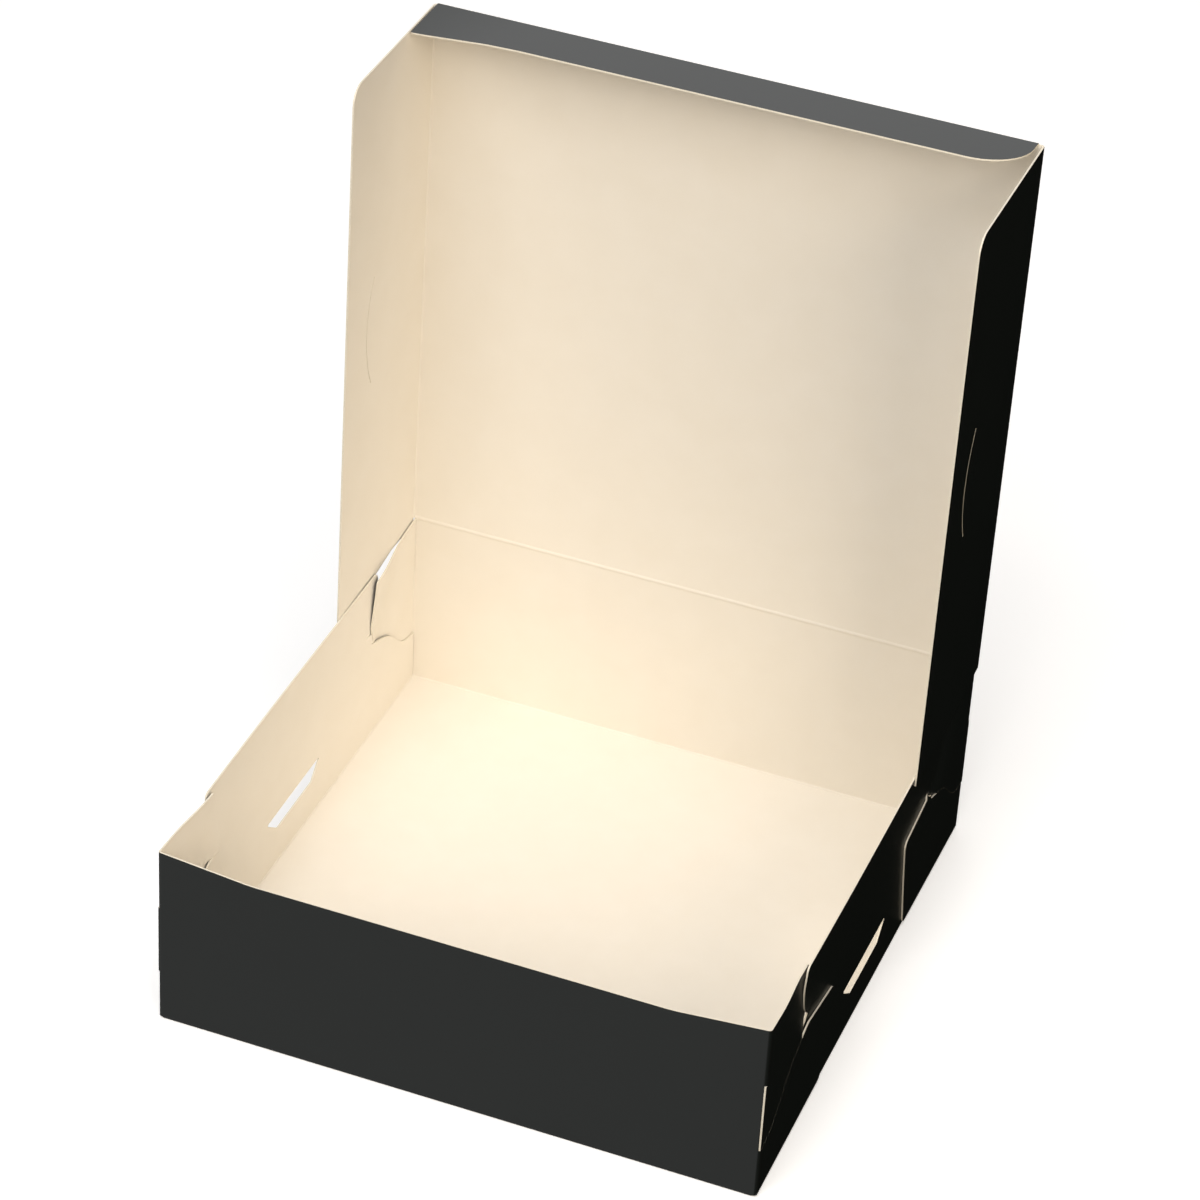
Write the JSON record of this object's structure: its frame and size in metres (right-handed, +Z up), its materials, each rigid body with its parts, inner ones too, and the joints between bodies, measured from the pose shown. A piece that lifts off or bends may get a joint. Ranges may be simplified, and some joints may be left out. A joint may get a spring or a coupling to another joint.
{
  "type": "cake box",
  "caption": "Low square folding cake box of thin board with locked corner ears and a hinged lid standing open, with side flaps and a front tuck flap.",
  "frame": {"origin": "centre of the tray's underside, on the surface that the box stands on", "axes": "+Z up, +Y towards the hinged back wall, +X to the right seen from the front"},
  "size_m": [0.2306, 0.2329, 0.3025],
  "materials": {
    "coated_board": "satin black print outside, bare cream board inside and on the cut edges"
  },
  "bodies": {
    "tray": {"tray": "coated_board"},
    "lid": {"lid_panel": "coated_board"},
    "left_flap": {"lid_left_flap": "coated_board"},
    "right_flap": {"lid_right_flap": "coated_board"},
    "front_flap": {"lid_front_flap": "coated_board"}
  },
  "joints": [
    {"name": "lid_hinge", "type": "hinge", "parent": "tray", "child": "lid", "pos_m": [0, 0.1137, 0.07645], "axis": [1, 0, 0], "range_deg": [-88.9, 91.1]},
    {"name": "left_flap_fold", "type": "hinge", "parent": "lid", "child": "left_flap", "pos_m": [-0.1147, 0.1137, 0.07645], "axis": [0, -0.0192, -0.9998], "range_deg": [0, 90]},
    {"name": "right_flap_fold", "type": "hinge", "parent": "lid", "child": "right_flap", "pos_m": [0.1147, 0.1137, 0.07645], "axis": [0, 0.0192, 0.9998], "range_deg": [0, 90]},
    {"name": "front_flap_fold", "type": "hinge", "parent": "lid", "child": "front_flap", "pos_m": [0, 0.11797, 0.29881], "axis": [1, 0, 0], "range_deg": [-84, 26]}
  ]
}
